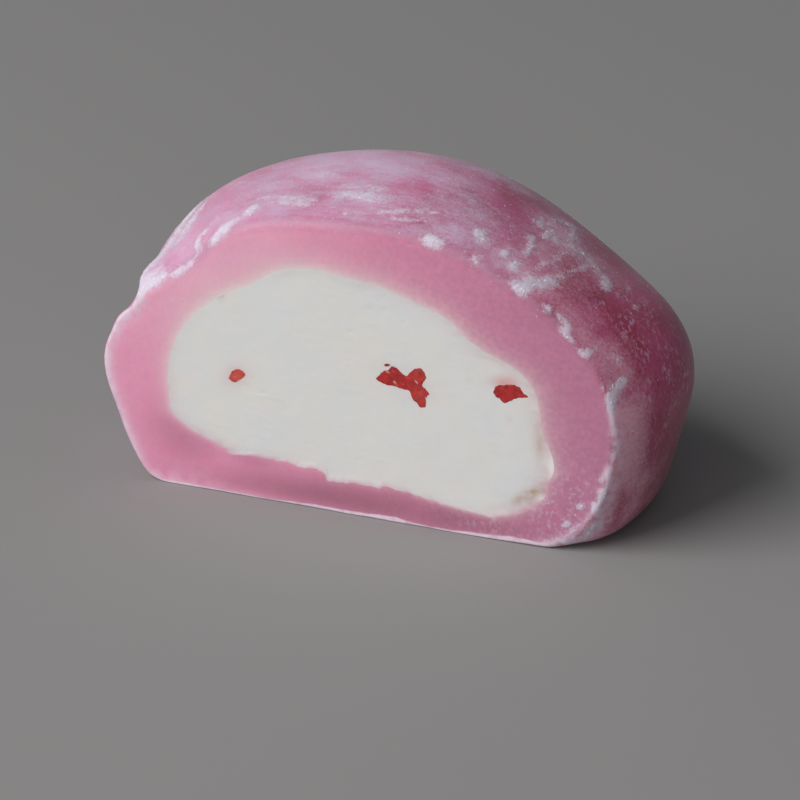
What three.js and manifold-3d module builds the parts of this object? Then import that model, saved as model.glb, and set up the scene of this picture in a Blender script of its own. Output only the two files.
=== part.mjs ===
// Half of a strawberry mochi rice cake. A soft shell of pink rice dough is wrapped round a ball of
// white filling, and a knife has gone straight down through it, so both show on one flat cut face.
//
// Millimetres, +Z up. The shapes are worked out with the cut in the plane y = 0, facing -Y, and the
// base in the plane z = 0. At the end the group is moved, so that the origin is the middle of the
// cake's footprint.
//
// Both pieces are star-shaped: every point of their surface is seen from the heart, a point in the
// middle of the cut face. A direction from the heart has a turn, counted round the cut from +X
// towards +Z, and a dip behind the cut, from 0 in the cut plane to a right angle straight back.

import * as THREE from 'three';
import { mergeVertices } from 'three/addons/utils/BufferGeometryUtils.js';
import Module from 'manifold-3d';

// ---- Driving dimensions, in mm ----

const heart = new THREE.Vector3(0, 0, 10);

// The ball of dough: half an ellipsoid above its widest height and a fuller bowl below it. The
// widest place lies behind the cut, because the knife squeezed the dough together.
const ball = {
  middle: 1.0, // x of the ball's centre
  left: 22.2, // from there to its left side
  right: 22.9, // and to its right side
  centreBehindCut: 9.8,
  front: 20.4, // the ball's reach from its centre towards the front, most of it cut away
  back: 13.2, // and towards the back
  widestHeight: 10.9,
  top: 27.2,
  bowlDepth: 25.4, // how far below the widest height the bowl would close, if it weren't pressed flat
  bowlFullness: 2.2, // power of the bowl's curve; 2 is an ellipse
};
// The side turns into the flat base in an edge that is tight at the cut and softer behind it.
const baseEdge = { softnessAtCut: 1.0, softnessBehind: 3.2, distanceBehind: 7 };

// What the hand and the knife left in the dough. Each swell pushes the surface out by its rise, and
// each dent, with a negative rise, in. The effect falls off as a bell curve of the given reach.
const swells = [
  { at: [-21.4, 0, 10.6], reach: 3.0, rise: 2.4 }, // lip of the cut on the left
  { at: [-19.3, 0, 14.6], reach: 1.6, rise: 0.9 }, // the lip's upper corner
  { at: [-19.3, 1.3, 15.2], reach: 0.9, rise: -1.1 }, // notch between the corner and the shoulder
  { at: [-18.7, 1.9, 16.7], reach: 1.6, rise: 0.75 }, // end of the shoulder above the notch
  { at: [-20.4, 1, 4], reach: 4.0, rise: 1.6 }, // left side, down to the base
  { at: [-21, 5, 12.5], reach: 2.0, rise: -0.7 }, // nick behind the lip
  { at: [-17, 9, 20], reach: 4.0, rise: 0.55 }, // left shoulder
  { at: [-16, 6, 20], reach: 2.4, rise: -0.5 }, // and the flat on its front
  { at: [-13.6, 0, 19.6], reach: 1.7, rise: -0.6 }, // hollow of the rim above the lip
  { at: [-8.5, 0, 23.5], reach: 3.0, rise: 0.45 }, // ridge of the rim beside it
  { at: [-2, 4, 26], reach: 7.0, rise: -0.6 }, // flattened crown
  { at: [15, 12, 23], reach: 6.0, rise: -1.5 }, // sloping right shoulder
  { at: [19, 11, 20], reach: 3.0, rise: -0.5 }, // and its lower end
  { at: [24, 8, 14], reach: 5.0, rise: 1.7 }, // bulge of the right side
  { at: [21.5, 0, 8], reach: 3.5, rise: 0.6 }, // right side of the rim
  { at: [17.2, 0, 0], reach: 2.2, rise: -1.25 }, // right heel, lifted off the table
  { at: [19.5, 5, 1], reach: 3.0, rise: 0.4 }, // foot behind the heel
];

// The filling: its radius on the cut face, seen from the heart, every 15 degrees from +X towards +Z.
const fillingRadii = [
  16.2, 15.6, 12.6, 11.8, 11.0, 10.8, 10.8, 11.4, 12.0, 12.2, 13.6, 15.2,
  16.0, 15.6, 12.4, 9.2, 7.6, 7.4, 7.4, 7.4, 8.2, 10.6, 15.4, 17.4,
];
const fillingDepth = 17.6; // how far the filling reaches behind the cut
const fillingFullness = 3.0; // power of its rounding towards the back; 2 is an ellipse
const fillingSetback = 0.3; // its face lies this far behind the dough's
const gap = 0.35; // room between the filling and the dough, along a ray from the heart

// Chunks of strawberry that the knife went through: middle on the cut face (x, z), width, height,
// and turn from +X towards +Z. Their flat faces stand just proud of the filling.
const chunks = [
  { at: [-9.85, 10.5], width: 1.5, height: 1.2, turn: 25 },
  { at: [3.5, 12.7], width: 2.8, height: 1.9, turn: -10 },
  { at: [5.6, 12.7], width: 2.1, height: 1.9, turn: 40 },
  { at: [6.1, 11.2], width: 1.5, height: 2.4, turn: 15 },
  { at: [13.3, 12.8], width: 3.1, height: 1.9, turn: -5 },
];
const chunkThickness = 1.2;
const chunkRise = 0.15;
const chunkSides = 7;
const chunkBevel = 0.1;

const doughFinish = { color: 0xd488a8, roughness: 0.55, metalness: 0 }; // moist and a little shiny
const fillingFinish = { color: 0xeceae4, roughness: 0.7, metalness: 0 }; // matt paste

// ---- Accuracy of the surfaces ----

const turns = 96; // divisions round the cut
const ballRings = 14; // rings of points on the outside of the dough
const fillingRings = 8; // and on the back of the filling
const surfaceLiesBetween = [2, 60]; // distances from the heart that lie inside and outside the ball
const halvings = 40;
const nearlyFlat = 1e-3; // points this low belong to the flat base
const samePoint = 1e-4; // corners this close together are one

// ---- The two forms ----

/** Unit vector from the heart at a turn round the cut and a dip behind it, in radians. */
function direction(turn, dip) {
  return new THREE.Vector3(Math.cos(turn) * Math.cos(dip), Math.sin(dip), Math.sin(turn) * Math.cos(dip));
}

/** The larger of two distances, with the corner between them rounded off by a softness. */
function softMaximum(side, base, softness) {
  const share = THREE.MathUtils.clamp(0.5 + (0.5 * (side - base)) / softness, 0, 1);
  return base * (1 - share) + side * share + softness * share * (1 - share);
}

/** Negative inside the ball of dough, positive outside, roughly in mm. */
function outsideBall(point) {
  const across = (point.x - ball.middle) / (point.x > ball.middle ? ball.right : ball.left);
  const behind = point.y - ball.centreBehindCut;
  const along = behind / (behind < 0 ? ball.front : ball.back);
  const spread = Math.hypot(across, along);
  const above = point.z - ball.widestHeight;
  const power = ball.bowlFullness;
  const measure = above > 0
    ? Math.hypot(spread, above / (ball.top - ball.widestHeight))
    : (spread ** power + (-above / ball.bowlDepth) ** power) ** (1 / power);
  let side = (measure - 1) * ball.right;
  for (const { at, reach, rise } of swells) {
    const distance = point.distanceTo(new THREE.Vector3(...at));
    side -= rise * Math.exp(-(distance ** 2) / (2 * reach ** 2));
  }
  const { softnessAtCut, softnessBehind, distanceBehind } = baseEdge;
  const shareBehind = Math.min(point.y / distanceBehind, 1);
  const softness = THREE.MathUtils.lerp(softnessAtCut, softnessBehind, shareBehind);
  return softMaximum(side, -point.z, softness);
}

/** Point of the ball's surface in a direction, found by halving the stretch it must lie in. */
function ballPoint(turn, dip) {
  const ray = direction(turn, dip);
  let [inside, outside] = surfaceLiesBetween;
  const point = new THREE.Vector3();
  for (let halving = 0; halving < halvings; halving += 1) {
    const radius = (inside + outside) / 2;
    point.copy(heart).addScaledVector(ray, radius);
    if (outsideBall(point) < 0) inside = radius;
    else outside = radius;
  }
  if (point.z < nearlyFlat) point.z = 0;
  return point;
}

/** Radius of the filling's outline on the cut face: a smooth cubic curve through the named radii. */
function fillingRadius(turn) {
  const count = fillingRadii.length;
  const place = (turn / (2 * Math.PI)) * count;
  const step = Math.floor(place);
  const part = place - step;
  const [before, here, next, after] = [-1, 0, 1, 2].map((k) => fillingRadii[(step + k + count) % count]);
  return here + 0.5 * part * (next - before
    + part * (2 * before - 5 * here + 4 * next - after + part * (3 * (here - next) + after - before)));
}

/** Point of the filling's back, grown by `room`: its outline drawn in evenly towards the back. */
function fillingPoint(turn, dip, room) {
  const power = 2 / fillingFullness;
  const spread = (fillingRadius(turn) + room) * Math.cos(dip) ** power;
  const depth = (fillingDepth + room) * Math.sin(dip) ** power;
  return new THREE.Vector3(spread * Math.cos(turn), depth, spread * Math.sin(turn)).add(heart);
}

// ---- Meshes ----

/** A ring of points, one for each turn. */
function ring(pointAt) {
  return Array.from({ length: turns }, (_, index) => pointAt((index / turns) * 2 * Math.PI));
}

/** Distance from the heart to the middle of two points. */
function reachOfMiddle(one, other) {
  return one.clone().lerp(other, 0.5).distanceTo(heart);
}

/**
 * Closed surface from a pole at the back, through rings of points, to a last pole. Each four-sided
 * field is split along the diagonal that lies farther from the heart, so that edges stay full.
 */
function ringSolid(backPole, rings, lastPole) {
  const points = [backPole, ...rings.flat(), lastPole];
  const last = points.length - 1;
  const faces = [];
  for (let index = 0; index < turns; index += 1) {
    const next = (index + 1) % turns;
    faces.push(0, 1 + next, 1 + index);
    for (let row = 0; row < rings.length - 1; row += 1) {
      const here = 1 + row * turns;
      const below = here + turns;
      const [a, b, c, d] = [here + index, here + next, below + next, below + index];
      if (reachOfMiddle(points[a], points[c]) > reachOfMiddle(points[b], points[d])) {
        faces.push(a, c, d, a, b, c);
      } else {
        faces.push(b, d, a, b, c, d);
      }
    }
    const lowest = 1 + (rings.length - 1) * turns;
    faces.push(lowest + index, lowest + next, last);
  }
  const geometry = new THREE.BufferGeometry();
  geometry.setAttribute('position', new THREE.Float32BufferAttribute(points.flatMap((p) => p.toArray()), 3));
  geometry.setIndex(faces);
  return geometry;
}

/** Shell of dough: the ball's outside, the ring of its cut face, and the hollow that holds the filling. */
function doughShell() {
  const back = ballPoint(0, Math.PI / 2);
  const rings = [];
  for (let row = 1; row <= ballRings; row += 1) {
    const dip = (1 - row / ballRings) * (Math.PI / 2);
    rings.push(ring((turn) => ballPoint(turn, dip)));
  }
  for (let row = 0; row < fillingRings; row += 1) {
    const dip = (row / fillingRings) * (Math.PI / 2);
    rings.push(ring((turn) => fillingPoint(turn, dip, gap)));
  }
  return ringSolid(back, rings, fillingPoint(0, Math.PI / 2, gap));
}

/** Filling without its chunks: a flat face set back from the cut, and the rounded back. */
function fillingBody() {
  const firstDip = Math.asin((fillingSetback / fillingDepth) ** (fillingFullness / 2));
  const rings = [];
  for (let row = fillingRings - 1; row >= 0; row -= 1) {
    const dip = firstDip + (row / fillingRings) * (Math.PI / 2 - firstDip);
    rings.push(ring((turn) => fillingPoint(turn, dip, 0)));
  }
  const face = heart.clone().setY(fillingSetback);
  return ringSolid(fillingPoint(0, Math.PI / 2, 0), rings, face);
}

/** One chunk of strawberry: a low rounded prism with its flat face just in front of the filling's. */
function chunkBody({ at, width, height, turn }) {
  const outline = new THREE.Shape();
  for (let corner = 0; corner < chunkSides; corner += 1) {
    const angle = (corner / chunkSides) * 2 * Math.PI;
    const x = (width / 2 - chunkBevel) * Math.cos(angle);
    const z = (height / 2 - chunkBevel) * Math.sin(angle);
    if (corner === 0) outline.moveTo(x, z);
    else outline.lineTo(x, z);
  }
  outline.closePath();
  const geometry = new THREE.ExtrudeGeometry(outline, {
    depth: chunkThickness - chunkBevel,
    steps: 1,
    bevelEnabled: true,
    bevelSegments: 1,
    bevelSize: chunkBevel,
    bevelThickness: chunkBevel,
  });
  geometry.rotateZ(THREE.MathUtils.degToRad(turn));
  geometry.rotateX(Math.PI / 2);
  const face = fillingSetback - chunkRise;
  return geometry.translate(at[0], face + chunkThickness, at[1]);
}

// ---- Joining the chunks to the filling ----

const wasm = await Module();
wasm.setup();

/** Solid for joining, from a closed geometry. */
function toSolid(geometry) {
  const bare = geometry.clone();
  bare.deleteAttribute('normal');
  bare.deleteAttribute('uv');
  const merged = mergeVertices(bare, samePoint);
  const vertProperties = new Float32Array(merged.attributes.position.array);
  const triVerts = new Uint32Array(merged.index.array);
  return new wasm.Manifold(new wasm.Mesh({ numProp: 3, vertProperties, triVerts }));
}

/** Geometry with flat facets, from a joined solid. */
function fromSolid(solid) {
  const mesh = solid.getMesh();
  const geometry = new THREE.BufferGeometry();
  geometry.setAttribute('position', new THREE.BufferAttribute(new Float32Array(mesh.vertProperties), 3));
  geometry.setIndex(new THREE.BufferAttribute(new Uint32Array(mesh.triVerts), 1));
  return geometry;
}

/** Filling with its strawberry chunks, as one closed body. */
function fillingWithChunks() {
  let solid = toSolid(fillingBody());
  for (const chunk of chunks) solid = solid.add(toSolid(chunkBody(chunk)));
  return fromSolid(solid);
}

// ---- The cake ----

/** Named mesh of one piece. */
function piece(name, geometry, finish) {
  geometry.computeVertexNormals();
  const mesh = new THREE.Mesh(geometry, new THREE.MeshStandardMaterial(finish));
  mesh.name = name;
  return mesh;
}

const cake = new THREE.Group();
cake.add(piece('dough_shell', doughShell(), doughFinish));
cake.add(piece('filling', fillingWithChunks(), fillingFinish));

const middle = new THREE.Box3().setFromObject(cake).getCenter(new THREE.Vector3());
cake.position.set(-middle.x, -middle.y, 0);

export default cake;
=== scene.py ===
import math

import bpy
import numpy as np
from mathutils import Matrix, Vector


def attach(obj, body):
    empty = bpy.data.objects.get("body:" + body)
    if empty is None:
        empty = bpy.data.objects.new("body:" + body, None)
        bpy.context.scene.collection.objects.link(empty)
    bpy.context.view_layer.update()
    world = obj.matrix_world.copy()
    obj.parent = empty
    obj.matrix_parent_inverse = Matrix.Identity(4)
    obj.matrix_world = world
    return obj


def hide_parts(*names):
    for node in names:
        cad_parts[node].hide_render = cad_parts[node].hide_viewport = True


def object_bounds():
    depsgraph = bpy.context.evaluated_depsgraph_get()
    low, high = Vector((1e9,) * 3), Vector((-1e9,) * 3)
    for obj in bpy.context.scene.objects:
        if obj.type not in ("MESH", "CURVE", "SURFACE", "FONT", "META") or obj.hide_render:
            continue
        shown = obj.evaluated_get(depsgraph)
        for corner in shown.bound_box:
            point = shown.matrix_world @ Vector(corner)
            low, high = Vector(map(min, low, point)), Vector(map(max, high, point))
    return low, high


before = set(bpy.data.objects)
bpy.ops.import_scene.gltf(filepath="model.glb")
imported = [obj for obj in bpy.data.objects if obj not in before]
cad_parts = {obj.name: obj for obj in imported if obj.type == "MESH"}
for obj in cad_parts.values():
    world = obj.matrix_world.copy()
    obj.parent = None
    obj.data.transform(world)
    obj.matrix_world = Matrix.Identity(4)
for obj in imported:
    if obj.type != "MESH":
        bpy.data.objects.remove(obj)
cad_low, cad_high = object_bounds()
scene = bpy.context.scene


# ---- Dough shell ----
# A soft skin of steamed rice dough, closed by hand round the filling and pressed flat on a table.
# A knife has gone straight down through it, so its wall shows as a ring on the cut face. The cut
# is sticky and smooth, and the outside is moist where the dusting starch has been rubbed off.
#
# Lengths are in mm, in the cut frame: x to the right, y straight back from the cut, z up from the
# table. A place on the dough has a turn round the heart of the cut, counted from the right
# upwards, and a dip behind the cut, up to a right angle straight back.

HEART = np.array([0, 0, 10.0])
BALL_MIDDLE, BALL_LEFT, BALL_RIGHT = 1.0, 22.2, 22.9
BALL_DEEP, BALL_FRONT, BALL_BACK = 9.8, 20.4, 13.2
WIDEST, BALL_TOP, BOWL_DEPTH, BOWL_FULLNESS = 10.9, 27.2, 25.4, 2.2
EDGE_AT_CUT, EDGE_GROWTH, EDGE_GROWS_OVER = 1.0, 2.2, 7.0
SWELLS = (  # x, y, z, reach, rise
    (-21.4, 0, 10.6, 3.0, 2.4),  # lip of the cut on the left
    (-19.3, 0, 14.6, 1.6, 0.9),  # the lip's upper corner
    (-19.3, 1.3, 15.2, 0.9, -1.1),  # notch between the corner and the shoulder
    (-18.7, 1.9, 16.7, 1.6, 0.75),  # end of the shoulder above the notch
    (-20.4, 1, 4, 4.0, 1.6),  # left side, down to the base
    (-21, 5, 12.5, 2.0, -0.7),  # nick behind the lip
    (-17, 9, 20, 4.0, 0.55),  # left shoulder
    (-16, 6, 20, 2.4, -0.5),  # and the flat on its front
    (-13.6, 0, 19.6, 1.7, -0.6),  # hollow of the rim above the lip
    (-8.5, 0, 23.5, 3.0, 0.45),  # ridge of the rim beside it
    (-2, 4, 26, 7.0, -0.6),  # flattened crown
    (15, 12, 23, 6.0, -1.5),  # sloping right shoulder
    (19, 11, 20, 3.0, -0.5),  # and its lower end
    (24, 8, 14, 5.0, 1.7),  # bulge of the right side
    (21.5, 0, 8, 3.5, 0.6),  # right side of the rim
    (17.2, 0, 0, 2.2, -1.25),  # right heel, lifted off the table
    (19.5, 5, 1, 3.0, 0.4),  # foot behind the heel
)
FILLING_RADII = (  # every 15 degrees of turn
    16.2, 15.6, 12.6, 11.8, 11.0, 10.8, 10.8, 11.4, 12.0, 12.2, 13.6, 15.2,
    16.0, 15.6, 12.4, 9.2, 7.6, 7.4, 7.4, 7.4, 8.2, 10.6, 15.4, 17.4,
)
FILLING_DEPTH, FILLING_FULLNESS = 17.6, 3.0
EDGE_BENDS = (  # turn, half width before and after it, rise of the filling's edge off that outline
    (88, 34, 34, -0.42), (172, 16, 14, -0.22), (192.5, 2.2, 2.2, 0.28), (203, 3, 3, -0.25),
    (211.5, 1.0, 1.2, 0.35), (216.5, 1.2, 2.0, -0.22), (224, 5, 5, -0.2), (238, 14, 14, 0.06),
    (253.5, 9, 1.0, -0.25), (254.5, 1.0, 6, 0.26), (270, 22, 22, -0.1), (285, 4, 4, 0.1),
    (304, 18, 18, 0.1), (337, 0.7, 0.9, 0.2), (341, 1.5, 1.5, 0.2), (345.5, 2.0, 2.0, -0.25),
    (352, 4, 5, 0.3),
)
NIBBLES = (  # size, seed, height all round the filling's edge, and added at its bottom
    (1.1, 11, 0.03, 0.04), (0.5, 12, 0.015, 0.085), (0.28, 13, 0, 0.07),
)
# Unevenness, as layers of noise: size, seed, height. The skin's fine grain is drawn out sideways.
SKIN_LUMPS, CUT_LUMPS = ((6.5, 1, 0.10), (2.6, 2, 0.05)), ((3.1, 31, 0.035), (0.9, 32, 0.012))
SKIN_GRAIN, SKIN_GRAIN_LIES = ((0.9, 3, 0.018),), (0.35, 1, 1)
# The worn edge of the cut: its width, how that changes round it, and the wider place at the heel.
EDGE_WORN, EDGE_UNEVEN, EDGE_REACH, EDGE_TOP, EDGE_BOTTOM = 0.42, ((4.0, 21, 0.12),), 20, 0.45, 0.28
EDGE_HEEL, HEEL_TURN, HEEL_WIDE = 0.45, 331, 6
# The step down to the filling at the seam, and how far the shell reaches into the filling's back.
SEAM_DEPTH, SEAM_WIDE, BOND, HOLLOW_START = 0.006, 0.2, 0.02, 0.5

TURNS, OUTSIDE_ROWS, EDGE_ROWS, CUT_ROWS, HOLLOW_ROWS = 600, 106, 12, 28, 12
CUT_BUNCHING = 0.11  # how much closer the cut's rows lie at the rim and at the seam


def lattice_noise(points, size, seed):
    """Smooth noise from -1 to 1: random values at the corners of cubes of the given size, blended
    along each side by 3t² - 2t³. Corner values come from mixing the corner's whole numbers."""
    cell = np.asarray(points) / size
    corner = np.floor(cell).astype(np.int64)
    part = cell - corner
    part = part * part * (3 - 2 * part)
    total = np.zeros(cell.shape[:-1])
    mask = 0xFFFFFFFF
    for step in range(8):
        side = np.array([step & 1, step >> 1 & 1, step >> 2 & 1])
        share = np.where(side, part, 1 - part).prod(-1)
        x, y, z = np.moveaxis(corner + side, -1, 0)
        mixed = (x * 73856093 ^ y * 19349663 ^ z * 83492791 ^ seed * 2654435761) & mask
        mixed = (mixed ^ mixed >> 15) * 2246822519 & mask
        mixed = (mixed ^ mixed >> 13) * 3266489917 & mask
        total += share * ((mixed ^ mixed >> 16) / (mask / 2) - 1)
    return total


def layers_of_noise(points, layers):
    """Sum of layers of noise, each with its size, seed and height."""
    return sum(height * lattice_noise(points, size, seed) for size, seed, height in layers)


def smooth_step(value, low, high):
    """0 below low, 1 above high, and 3t² - 2t³ between them."""
    part = np.clip((value - low) / (high - low), 0, 1)
    return part * part * (3 - 2 * part)


def outside_ball(points):
    """Roughly the distance outside the ball of dough. Above its widest height the ball is half an
    ellipsoid, below it a fuller bowl. Each swell adds a bell curve, and the soft maximum with the
    table's plane makes the flat base."""
    x, y, z = np.moveaxis(points, -1, 0)
    across = (x - BALL_MIDDLE) / np.where(x > BALL_MIDDLE, BALL_RIGHT, BALL_LEFT)
    along = (y - BALL_DEEP) / np.where(y < BALL_DEEP, BALL_FRONT, BALL_BACK)
    spread = np.hypot(across, along)
    above = np.clip(z - WIDEST, 0, None) / (BALL_TOP - WIDEST)
    below = np.clip(WIDEST - z, 0, None) / BOWL_DEPTH
    bowl = (spread**BOWL_FULLNESS + below**BOWL_FULLNESS) ** (1 / BOWL_FULLNESS)
    side = (np.where(z > WIDEST, np.hypot(spread, above), bowl) - 1) * BALL_RIGHT
    for at_x, at_y, at_z, reach, rise in SWELLS:
        squared = (x - at_x) ** 2 + (y - at_y) ** 2 + (z - at_z) ** 2
        side -= rise * np.exp(-squared / (2 * reach**2))
    softness = EDGE_AT_CUT + EDGE_GROWTH * np.clip(y / EDGE_GROWS_OVER, 0, 1)
    share = np.clip(0.5 + 0.5 * (side + z) / softness, 0, 1)
    return side * share - z * (1 - share) + softness * share * (1 - share)


def ray(turn, dip):
    """Unit vector from the heart: the turn round the cut, tilted back by the dip."""
    turn, dip = np.broadcast_arrays(turn, dip)
    return np.stack([np.cos(turn) * np.cos(dip), np.sin(dip), np.sin(turn) * np.cos(dip)], -1)


def skin_relief(points):
    """What the hand left in the skin, outwards: broad and small unevenness, none at the table."""
    uneven = layers_of_noise(points, SKIN_LUMPS)
    grain = layers_of_noise(points * SKIN_GRAIN_LIES, SKIN_GRAIN)
    return (uneven + grain) * smooth_step(points[..., 2], 0.3, 2.0)


def skin(turn, dip):
    """Outside of the dough: along each ray, the place where outside_ball is nought, found by
    halving the stretch it lies in, then moved along the ray by the relief."""
    rays = ray(turn, dip)
    near, far = np.full(rays.shape[:-1], 2.0), np.full(rays.shape[:-1], 60.0)
    for _ in range(32):
        middle = (near + far) / 2
        inside = outside_ball(HEART + middle[..., None] * rays) < 0
        near, far = np.where(inside, middle, near), np.where(inside, far, middle)
    points = HEART + near[..., None] * rays
    points += skin_relief(points)[..., None] * rays
    points[..., 2] = np.clip(points[..., 2], 0, None)
    return points


def skin_behind(turn, behind):
    """Point of the skin at a turn and a distance behind the cut: the dip whose sine is that
    distance over the reach, settled in a few rounds."""
    dip = np.zeros(np.broadcast(turn, behind).shape)
    for _ in range(8):
        reach = np.linalg.norm(skin(turn, dip) - HEART, axis=-1)
        dip = np.arcsin(np.clip(behind / reach, 0, 1))
    return skin(turn, dip), dip


def filling_radius(turn):
    """Smooth closed curve through the named radii, as a cubic with the neighbours' slopes."""
    radii = np.array(FILLING_RADII)
    place = np.mod(turn, 2 * np.pi) / (2 * np.pi) * len(radii)
    step = np.floor(place).astype(int)
    part = place - step
    before, here, after, beyond = (radii[(step + k) % len(radii)] for k in (-1, 0, 1, 2))
    bend = 2 * before - 5 * here + 4 * after - beyond + part * (3 * (here - after) + beyond - before)
    return here + 0.5 * part * (after - before + part * bend)


def filling_edge(turn):
    """Outline of the filling on the cut: the smooth curve with its bends, each a bell with a
    steeper and a gentler side, and with small nibbles of the knife, most at the bottom."""
    radius = filling_radius(turn)
    place = HEART + radius[..., None] * ray(turn, 0 * turn)
    for at, before, after, rise in EDGE_BENDS:
        away = np.mod(np.degrees(turn) - at + 180, 360) - 180
        radius = radius + rise * np.exp(-((away / np.where(away < 0, before, after)) ** 2) / 2)
    low = smooth_step(-np.sin(turn), 0.1, 0.6)
    for size, seed, all_round, at_bottom in NIBBLES:
        radius = radius + (all_round + at_bottom * low) * lattice_noise(place, size, seed)
    return radius


def hollow(turn, dip, room):
    """Back of the filling, grown by some room: the outline drawn in evenly towards the back."""
    power = 2 / FILLING_FULLNESS
    spread = (filling_edge(turn) + room) * np.cos(dip) ** power
    depth = (FILLING_DEPTH + room) * np.sin(dip) ** power
    return HEART + np.stack([spread * np.cos(turn), depth + 0 * spread, spread * np.sin(turn)], -1)


def closed_rings(name, first_pole, rings, last_pole):
    """Closed smooth mesh from a pole through rings of points to a last pole, in the part's frame.
    Returns the object. Its points are in the order pole, rings, pole."""
    rows, turns = rings.shape[:2]
    points = np.concatenate([first_pole[None], rings.reshape(-1, 3), last_pole[None]])
    here = np.arange(turns)
    after = (here + 1) % turns
    start = 1 + turns * np.arange(rows - 1)[:, None]
    quads = np.stack([start + here, start + after, start + turns + after, start + turns + here], -1)
    low = 1 + turns * (rows - 1)
    fan = np.stack([0 * here, 1 + after, 1 + here], -1)
    end = np.stack([low + here, low + after, 0 * here + len(points) - 1], -1)
    faces = fan.tolist() + quads.reshape(-1, 4).tolist() + end.tolist()
    return mesh_piece(name, points, faces)


def mesh_piece(name, points, faces):
    """Smooth mesh object from points in mm in the cut frame, put into the part's frame in metres."""
    mesh = bpy.data.meshes.new(name)
    mesh.from_pydata(((points + to_frame) / 1000).tolist(), [], faces)
    mesh.shade_smooth()
    mesh.set_sharp_from_angle(angle=math.radians(60))
    piece = bpy.data.objects.new(name, mesh)
    scene.collection.objects.link(piece)
    return piece


def paint(piece, name, values):
    """Stores one number for each point of a piece, for its material to read."""
    layer = piece.data.attributes.new(name, "FLOAT", "POINT")
    layer.data.foreach_set("value", np.asarray(values, dtype=np.float32).ravel())


def with_poles(first, values, last):
    """One number for each point of closed_rings, from those of its rings and of its two poles."""
    return np.concatenate([[first], values.ravel(), [last]])


# The rows of the shell: skin from the back pole to the cut, the worn edge, the cut face down to
# the seam with the filling, and the hollow that holds it.
turn = np.linspace(0, 2 * np.pi, TURNS, endpoint=False)
edge = EDGE_WORN + layers_of_noise(HEART + EDGE_REACH * ray(turn, 0 * turn), EDGE_UNEVEN)
edge += EDGE_TOP * smooth_step(np.sin(turn), 0.1, 0.55)
edge -= EDGE_BOTTOM * smooth_step(-np.sin(turn), 0.2, 0.5)
edge += EDGE_HEEL * np.exp(-(((np.degrees(turn) - HEEL_TURN) / HEEL_WIDE) ** 2))
corner = skin(turn, 0 * turn)
edge_start, edge_dip = skin_behind(turn, edge)
share = np.arange(1, OUTSIDE_ROWS + 1)[:, None] / OUTSIDE_ROWS
outside_dips = np.pi / 2 + share * (edge_dip - np.pi / 2)
outside_rows = skin(turn + 0 * outside_dips, outside_dips)

cut_reach = np.linalg.norm(corner - HEART, axis=-1) - edge
cut_start = HEART + cut_reach[:, None] * ray(turn, 0 * turn)
part = (np.arange(1, EDGE_ROWS + 1) / EDGE_ROWS)[:, None, None]
edge_rows = (1 - part) ** 2 * edge_start + 2 * part * (1 - part) * corner + part**2 * cut_start

inner = filling_edge(turn)
share = (np.arange(1, CUT_ROWS + 1) / CUT_ROWS)[:, None]
share = share - CUT_BUNCHING * np.sin(2 * np.pi * share)
cut_radii = cut_reach + share * (inner - cut_reach)
cut_rows = HEART + cut_radii[..., None] * ray(turn, 0 * turn)
face_relief = layers_of_noise(cut_rows, CUT_LUMPS)
cut_rows[..., 1] += face_relief * smooth_step(cut_reach - cut_radii, 0, 0.8)
cut_rows[..., 1] += SEAM_DEPTH * smooth_step(inner + SEAM_WIDE - cut_radii, 0, SEAM_WIDE)
seam_y = cut_rows[-1, :, 1]

first_dip = np.arcsin((HOLLOW_START / FILLING_DEPTH) ** (FILLING_FULLNESS / 2))
share = (np.arange(HOLLOW_ROWS) / HOLLOW_ROWS)[:, None]
hollow_rows = hollow(turn, first_dip + share * (np.pi / 2 - first_dip), BOND)

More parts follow.
